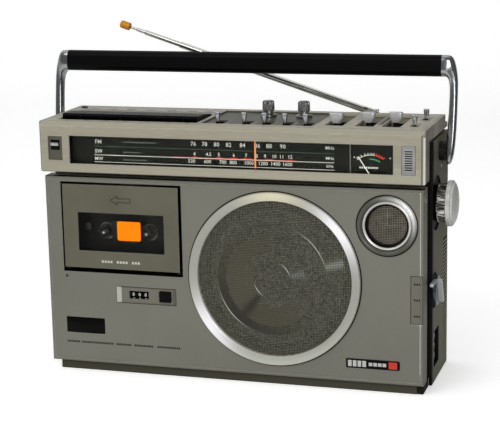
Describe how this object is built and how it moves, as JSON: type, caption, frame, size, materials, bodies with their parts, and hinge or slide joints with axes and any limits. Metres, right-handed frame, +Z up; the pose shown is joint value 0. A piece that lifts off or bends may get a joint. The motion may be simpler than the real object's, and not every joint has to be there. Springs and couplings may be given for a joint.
{
  "type": "radio cassette recorder",
  "caption": "Portable radio cassette recorder with a large round loudspeaker, tuning scale, piano keys, swinging handle and telescopic antenna.",
  "frame": {"origin": "centre of the underside, on the surface the recorder stands on", "axes": "+X to the right of a person facing the dial, +Y towards the back, +Z up"},
  "size_m": [0.3955, 0.116, 0.3245],
  "materials": {
    "panel_grey": "satin warm grey paint on moulded plastic",
    "champagne": "satin champagne paint on moulded plastic",
    "top_champagne": "fine brushed, anodised champagne",
    "side_olive": "fine grained dark olive grey plastic",
    "black_plastic": "matte black moulded plastic",
    "key_black": "satin black key tops",
    "bright_ring": "turned and polished aluminium",
    "mesh_grey": "perforated sheet, painted grey",
    "chrome": "bright chrome plate",
    "clear": "clear moulded window",
    "dial_black": "black scale plate with plain printed numbers",
    "pointer_orange": "orange pointer",
    "needle_white": "white needle",
    "grip_brown": "dark moulded grip",
    "steel": "zinc plated steel",
    "brass_like": "turned flywheel",
    "belt_rubber": "black rubber",
    "cone_paper": "dark pressed cone",
    "magnet_iron": "ferrite magnet and pressed basket",
    "door_grey": "light satin grey",
    "well_black": "black well with an orange stop plate",
    "wheel_white": "black number wheels",
    "socket_black": "black socket housings",
    "board_green": "circuit board and transformer"
  },
  "bodies": {
    "cabinet": {"front_cabinet": "panel_grey", "chassis_frame": "black_plastic", "rear_cabinet": "side_olive", "dial_band": "champagne", "top_plate": "top_champagne", "dial_glass": "clear", "dial_plate": "dial_black", "woofer_ring": "bright_ring", "woofer_grille": "mesh_grey", "speaker_drivers": "magnet_iron", "tweeter_grille": "bright_ring", "cassette_well": "well_black", "deck_chassis": "steel", "drive_motor": "steel", "drive_belt": "belt_rubber", "sockets": "socket_black", "electronics": "board_green", "handle_pivots": "black_plastic"},
    "key_1": {"key_1": "key_black"},
    "key_2": {"key_2": "key_black"},
    "key_3": {"key_3": "key_black"},
    "key_4": {"key_4": "key_black"},
    "key_5": {"key_5": "key_black"},
    "key_6": {"key_6": "key_black"},
    "key_7": {"key_7": "key_black"},
    "lever_1": {"lever_1": "chrome"},
    "lever_2": {"lever_2": "chrome"},
    "lever_3": {"lever_3": "chrome"},
    "lever_4": {"lever_4": "chrome"},
    "lever_5": {"lever_5": "chrome"},
    "lever_6": {"lever_6": "chrome"},
    "lever_7": {"lever_7": "chrome"},
    "slider_1": {"slider_1": "chrome"},
    "slider_2": {"slider_2": "chrome"},
    "slider_3": {"slider_3": "chrome"},
    "knob_1": {"knob_1": "chrome"},
    "knob_2": {"knob_2": "chrome"},
    "handle": {"handle_arms": "chrome", "handle_grip": "grip_brown"},
    "door": {"cassette_door": "door_grey", "door_window": "clear"},
    "antenna_swivel": {"antenna_swivel": "chrome"},
    "antenna_section_1": {"antenna_section_1": "chrome"},
    "antenna_section_2": {"antenna_section_2": "chrome"},
    "antenna_section_3": {"antenna_section_3": "chrome"},
    "antenna_section_4": {"antenna_section_4": "chrome"},
    "tuning_knob": {"tuning_knob": "chrome"},
    "dial_pointer": {"dial_pointer": "pointer_orange"},
    "band_selector": {"band_selector": "chrome"},
    "supply_spindle": {"supply_spindle": "key_black"},
    "takeup_spindle": {"takeup_spindle": "key_black"},
    "flywheel": {"flywheel": "brass_like"},
    "motor_pulley": {"motor_pulley": "brass_like"},
    "head_bridge": {"head_bridge": "steel"},
    "pinch_roller": {"pinch_roller": "belt_rubber"},
    "counter_wheels": {"counter_wheels": "wheel_white"},
    "counter_reset": {"counter_reset": "panel_grey"},
    "meter_needle": {"meter_needle": "needle_white"},
    "woofer_cone": {"woofer_cone": "cone_paper"},
    "battery_cover": {"battery_cover": "side_olive"}
  },
  "joints": [
    {"name": "key_1_press", "type": "hinge", "parent": "cabinet", "child": "key_1", "pos_m": [0, 0.029, 0.229], "axis": [1, 0, 0], "range_deg": [0, 8], "stiffness_Nm_per_rad": 0.06, "springref_deg": -17.19},
    {"name": "key_2_press", "type": "hinge", "parent": "cabinet", "child": "key_2", "pos_m": [0, 0.029, 0.229], "axis": [1, 0, 0], "range_deg": [0, 8], "stiffness_Nm_per_rad": 0.06, "springref_deg": -17.19},
    {"name": "key_3_press", "type": "hinge", "parent": "cabinet", "child": "key_3", "pos_m": [0, 0.029, 0.229], "axis": [1, 0, 0], "range_deg": [0, 8], "stiffness_Nm_per_rad": 0.06, "springref_deg": -17.19},
    {"name": "key_4_press", "type": "hinge", "parent": "cabinet", "child": "key_4", "pos_m": [0, 0.029, 0.229], "axis": [1, 0, 0], "range_deg": [0, 8], "stiffness_Nm_per_rad": 0.06, "springref_deg": -17.19},
    {"name": "key_5_press", "type": "hinge", "parent": "cabinet", "child": "key_5", "pos_m": [0, 0.029, 0.229], "axis": [1, 0, 0], "range_deg": [0, 8], "stiffness_Nm_per_rad": 0.06, "springref_deg": -17.19},
    {"name": "key_6_press", "type": "hinge", "parent": "cabinet", "child": "key_6", "pos_m": [0, 0.029, 0.229], "axis": [1, 0, 0], "range_deg": [0, 8], "stiffness_Nm_per_rad": 0.06, "springref_deg": -17.19},
    {"name": "key_7_press", "type": "hinge", "parent": "cabinet", "child": "key_7", "pos_m": [0, 0.029, 0.229], "axis": [1, 0, 0], "range_deg": [0, 8], "stiffness_Nm_per_rad": 0.06, "springref_deg": -17.19},
    {"name": "lever_1_slide", "type": "slide", "parent": "cabinet", "child": "lever_1", "axis": [0, 1, 0], "range_m": [-0.001, 0.017]},
    {"name": "lever_2_slide", "type": "slide", "parent": "cabinet", "child": "lever_2", "axis": [0, 1, 0], "range_m": [-0.001, 0.017]},
    {"name": "lever_3_slide", "type": "slide", "parent": "cabinet", "child": "lever_3", "axis": [0, 1, 0], "range_m": [-0.001, 0.017]},
    {"name": "lever_4_slide", "type": "slide", "parent": "cabinet", "child": "lever_4", "axis": [0, 1, 0], "range_m": [-0.001, 0.017]},
    {"name": "lever_5_slide", "type": "slide", "parent": "cabinet", "child": "lever_5", "axis": [0, 1, 0], "range_m": [-0.001, 0.017]},
    {"name": "lever_6_slide", "type": "slide", "parent": "cabinet", "child": "lever_6", "axis": [0, 1, 0], "range_m": [-0.003, 0.013]},
    {"name": "lever_7_slide", "type": "slide", "parent": "cabinet", "child": "lever_7", "axis": [0, 1, 0], "range_m": [-0.003, 0.013]},
    {"name": "slider_1_slide", "type": "slide", "parent": "cabinet", "child": "slider_1", "axis": [0, 1, 0], "range_m": [-0.009, 0.057]},
    {"name": "slider_2_slide", "type": "slide", "parent": "cabinet", "child": "slider_2", "axis": [0, 1, 0], "range_m": [-0.017, 0.049]},
    {"name": "slider_3_slide", "type": "slide", "parent": "cabinet", "child": "slider_3", "axis": [0, 1, 0], "range_m": [-0.021, 0.045]},
    {"name": "knob_1_turn", "type": "hinge", "parent": "cabinet", "child": "knob_1", "pos_m": [0.0205, 0.013, 0.24], "axis": [0, 0, 1], "range_deg": [-135, 135]},
    {"name": "knob_2_turn", "type": "hinge", "parent": "cabinet", "child": "knob_2", "pos_m": [0.0545, 0.013, 0.24], "axis": [0, 0, 1], "range_deg": [-135, 135]},
    {"name": "handle_swing", "type": "hinge", "parent": "cabinet", "child": "handle", "pos_m": [0, 0.013, 0.211], "axis": [1, 0, 0], "range_deg": [0, 50]},
    {"name": "door_swing", "type": "hinge", "parent": "cabinet", "child": "door", "pos_m": [-0.104, -0.048, 0.0993], "axis": [1, 0, 0], "range_deg": [0, 35]},
    {"name": "antenna_turn", "type": "hinge", "parent": "cabinet", "child": "antenna_swivel", "pos_m": [0.113, 0.0496, 0.238], "axis": [0, 0, 1], "range_deg": [-180, 0]},
    {"name": "antenna_tilt", "type": "hinge", "parent": "antenna_swivel", "child": "antenna_section_1", "pos_m": [0.113, 0.0496, 0.238], "axis": [0, 1, 0], "range_deg": [-18, 72]},
    {"name": "antenna_pull_2", "type": "slide", "parent": "antenna_section_1", "child": "antenna_section_2", "axis": [-0.9511, 0, 0.309], "range_m": [0, 0.15]},
    {"name": "antenna_pull_3", "type": "slide", "parent": "antenna_section_2", "child": "antenna_section_3", "axis": [-0.9511, 0, 0.309], "range_m": [0, 0.18]},
    {"name": "antenna_pull_4", "type": "slide", "parent": "antenna_section_3", "child": "antenna_section_4", "axis": [-0.9511, 0, 0.309], "range_m": [0, 0.175]},
    {"name": "tuning_turn", "type": "hinge", "parent": "cabinet", "child": "tuning_knob", "pos_m": [0.19, -0.003, 0.1665], "axis": [1, 0, 0], "range_deg": [-374, 217]},
    {"name": "pointer_slide", "type": "slide", "parent": "cabinet", "child": "dial_pointer", "axis": [1, 0, 0], "range_m": [-0.0622, 0.0362]},
    {"name": "band_turn", "type": "hinge", "parent": "cabinet", "child": "band_selector", "pos_m": [0.183, -0.013, 0.088], "axis": [1, 0, 0], "range_deg": [0, 60]},
    {"name": "supply_turn", "type": "hinge", "parent": "cabinet", "child": "supply_spindle", "pos_m": [-0.08275, -0.044, 0.1338], "axis": [0, 1, 0], "continuous": true},
    {"name": "takeup_turn", "type": "hinge", "parent": "cabinet", "child": "takeup_spindle", "pos_m": [-0.12525, -0.044, 0.1338], "axis": [0, 1, 0], "continuous": true},
    {"name": "flywheel_turn", "type": "hinge", "parent": "cabinet", "child": "flywheel", "pos_m": [-0.135, -0.023, 0.163], "axis": [0, 1, 0], "continuous": true},
    {"name": "motor_turn", "type": "hinge", "parent": "cabinet", "child": "motor_pulley", "pos_m": [-0.066, -0.022, 0.158], "axis": [0, 1, 0], "continuous": true},
    {"name": "head_slide", "type": "slide", "parent": "cabinet", "child": "head_bridge", "axis": [0, 0, -1], "range_m": [0, 0.006]},
    {"name": "roller_turn", "type": "hinge", "parent": "head_bridge", "child": "pinch_roller", "pos_m": [-0.135, -0.043, 0.1763], "axis": [0, 1, 0], "continuous": true},
    {"name": "counter_turn", "type": "hinge", "parent": "cabinet", "child": "counter_wheels", "pos_m": [-0.0892, -0.0424, 0.0772], "axis": [1, 0, 0], "continuous": true},
    {"name": "reset_press", "type": "slide", "parent": "cabinet", "child": "counter_reset", "axis": [0, 1, 0], "range_m": [0, 0.002], "stiffness_N_per_m": 200, "springref_m": -0.002},
    {"name": "meter_swing", "type": "hinge", "parent": "cabinet", "child": "meter_needle", "pos_m": [0.1315, -0.051, 0.1975], "axis": [0, 1, 0], "range_deg": [0, 66], "stiffness_Nm_per_rad": 0.0004, "springref_deg": -17.19},
    {"name": "cone_travel", "type": "slide", "parent": "cabinet", "child": "woofer_cone", "axis": [0, 1, 0], "range_m": [-0.002, 0.002], "stiffness_N_per_m": 1500},
    {"name": "cover_swing", "type": "hinge", "parent": "cabinet", "child": "battery_cover", "pos_m": [0, 0.0555, 0.017], "axis": [1, 0, 0], "range_deg": [-90, 0]}
  ],
  "couplings": [
    {"joint": "pointer_slide", "follows": "tuning_turn", "m_per_rad": 0.0095},
    {"joint": "motor_turn", "follows": "flywheel_turn", "ratio": 5.5556},
    {"joint": "counter_turn", "follows": "takeup_turn", "ratio": 0.5},
    {"joint": "head_slide", "follows": "key_4_press", "m_per_rad": 0.0429}
  ]
}
